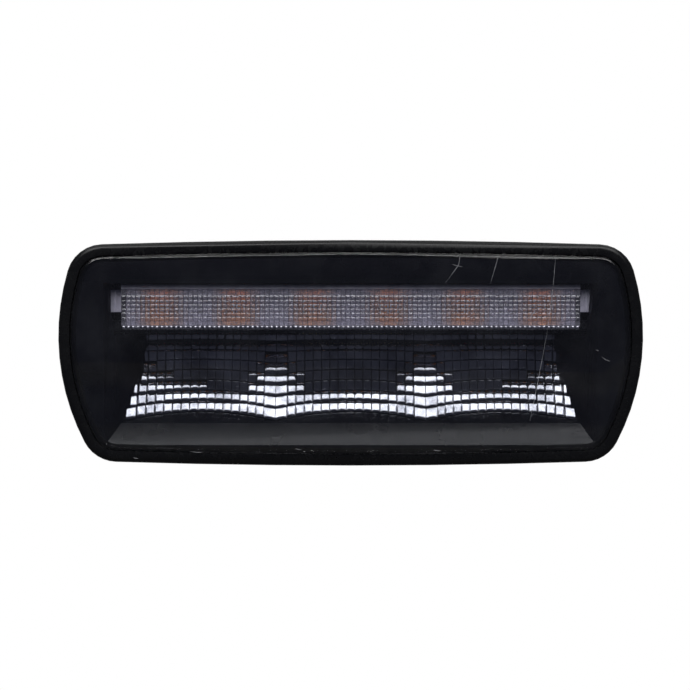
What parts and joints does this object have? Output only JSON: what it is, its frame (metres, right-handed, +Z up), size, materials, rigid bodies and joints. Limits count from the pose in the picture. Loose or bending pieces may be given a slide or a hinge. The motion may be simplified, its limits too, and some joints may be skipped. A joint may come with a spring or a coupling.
{
  "type": "third brake light",
  "caption": "Wide oval-ended centre stop lamp for a cab roof: clear cover, black mask, slim light bar above mirrored faceted cells, studs and socket behind.",
  "frame": {"origin": "centre of the plane where the gasket seats on the cab panel", "axes": "+X to the right seen from outside, +Y into the cab, +Z up; the lens faces -Y"},
  "size_m": [0.318, 0.0843, 0.1228],
  "materials": {
    "housing_plastic": "satin",
    "gasket_foam": "matte",
    "clear_cover": "gloss",
    "sealant": "matte",
    "mask_gloss_black": "gloss",
    "clear_bar": "gloss",
    "white_tray": "satin",
    "board_white": "satin",
    "board_dark": "satin",
    "amber_source": "gloss",
    "white_source": "satin",
    "red_source": "gloss",
    "mirror_coating": "polished",
    "zinc_steel": "satin",
    "capacitor_can": "satin",
    "component_black": "matte",
    "brass_pin": "polished",
    "silicone_seal": "matte",
    "membrane_white": "matte",
    "wire_red": "satin",
    "wire_black": "satin",
    "wire_white": "satin"
  },
  "bodies": {
    "root": {"housing": "housing_plastic", "body_gasket": "gasket_foam", "outer_lens": "clear_cover", "lens_sealant": "sealant", "inner_mask": "mask_gloss_black", "bar_lens": "clear_bar", "bar_light_cups": "white_tray", "bar_board": "board_white", "bar_carrier": "housing_plastic", "bar_led_1": "amber_source", "bar_led_2": "amber_source", "bar_led_3": "amber_source", "bar_led_4": "amber_source", "bar_led_5": "amber_source", "bar_led_6": "amber_source", "mirror_cells": "mirror_coating", "cell_board": "board_dark", "cargo_led_1": "white_source", "cargo_led_2": "white_source", "cargo_led_3": "white_source", "stop_led_left_1": "red_source", "stop_led_left_2": "red_source", "stop_led_right_1": "red_source", "stop_led_right_2": "red_source", "driver_chip": "component_black", "input_capacitor": "capacitor_can", "protection_diode": "component_black", "series_resistor_1": "component_black", "series_resistor_2": "component_black", "series_resistor_3": "component_black", "supply_header": "white_tray", "link_header": "white_tray", "carrier_screw_left": "zinc_steel", "bar_board_screw_left": "zinc_steel", "mirror_screw_left": "zinc_steel", "cell_board_screw_left": "zinc_steel", "socket_screw_left": "zinc_steel", "carrier_screw_right": "zinc_steel", "bar_board_screw_right": "zinc_steel", "mirror_screw_right": "zinc_steel", "cell_board_screw_right": "zinc_steel", "socket_screw_right": "zinc_steel", "connector_socket": "housing_plastic", "socket_seal": "silicone_seal", "terminal_1": "brass_pin", "terminal_2": "brass_pin", "terminal_3": "brass_pin", "terminal_4": "brass_pin", "vent_membrane": "membrane_white", "vent_cap": "gasket_foam", "stud_left": "zinc_steel", "flange_nut_left": "zinc_steel", "stud_right": "zinc_steel", "flange_nut_right": "zinc_steel", "supply_lead_1": "wire_red", "supply_lead_2": "wire_black", "supply_lead_3": "wire_white", "supply_lead_4": "wire_red", "link_lead_1": "wire_red", "link_lead_2": "wire_black"}
  },
  "joints": []
}
